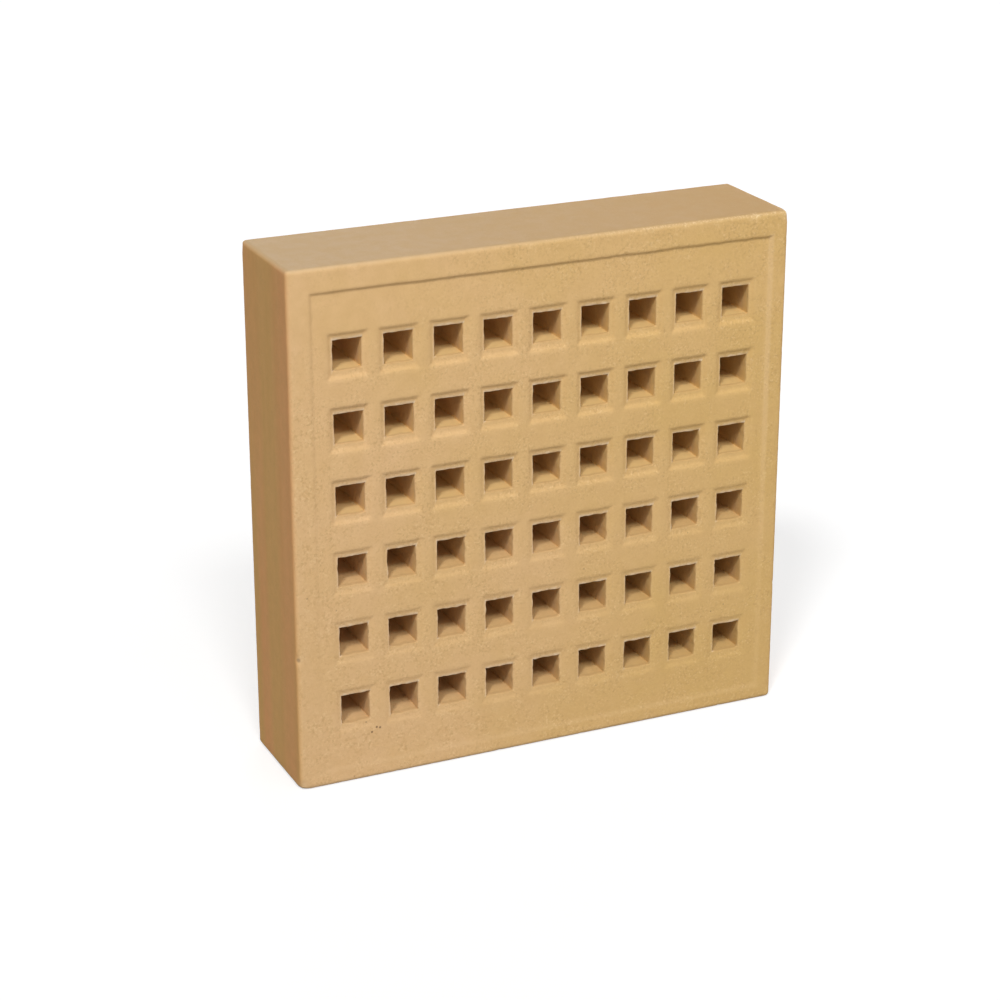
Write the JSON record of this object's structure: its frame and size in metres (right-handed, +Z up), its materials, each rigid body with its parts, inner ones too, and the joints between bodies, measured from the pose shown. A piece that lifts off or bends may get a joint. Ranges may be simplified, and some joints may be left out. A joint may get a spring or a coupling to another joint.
{
  "type": "air brick",
  "caption": "Square fired-clay air brick: a raised border round a sunk front panel with a grid of square through holes.",
  "frame": {"origin": "middle of the bottom bed, under the centre of the bounding box", "axes": "+X along the wall to the right as seen from the front, +Y into the wall from the patterned front face towards the plain back, +Z up the wall"},
  "size_m": [0.215, 0.05, 0.215],
  "materials": {
    "fired_clay": "matte unglazed fired clay, buff, fine sandy grain"
  },
  "bodies": {
    "root": {"air_brick": "fired_clay"}
  },
  "joints": []
}
